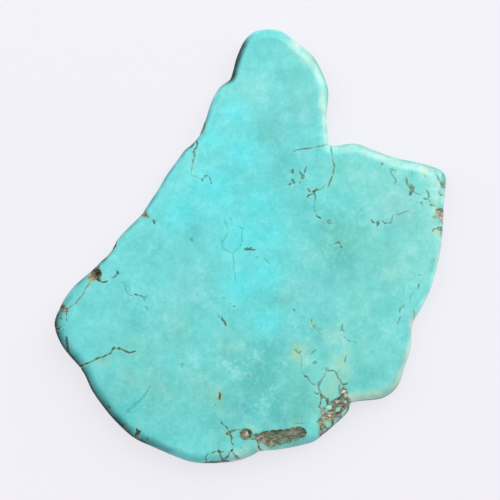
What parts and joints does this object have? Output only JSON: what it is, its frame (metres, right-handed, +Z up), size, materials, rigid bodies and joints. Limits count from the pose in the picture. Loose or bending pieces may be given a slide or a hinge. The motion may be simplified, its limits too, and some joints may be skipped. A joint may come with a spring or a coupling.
{
  "type": "turquoise slab",
  "caption": "Flat polished slab of natural blue-green turquoise with a rounded edge, an irregular outline and brown matrix veins.",
  "frame": {"origin": "middle of the slab's footprint, on its bottom face, as it lies flat", "axes": "+Z up through the thickness, +Y along the slab towards the narrow lobe, +X across it towards the broad shoulder"},
  "size_m": [0.0652, 0.0722, 0.005],
  "materials": {
    "turquoise": "polished, with a soft waxy gloss, and duller brown matrix in the veins and pits"
  },
  "bodies": {
    "root": {"turquoise_slab": "turquoise"}
  },
  "joints": []
}
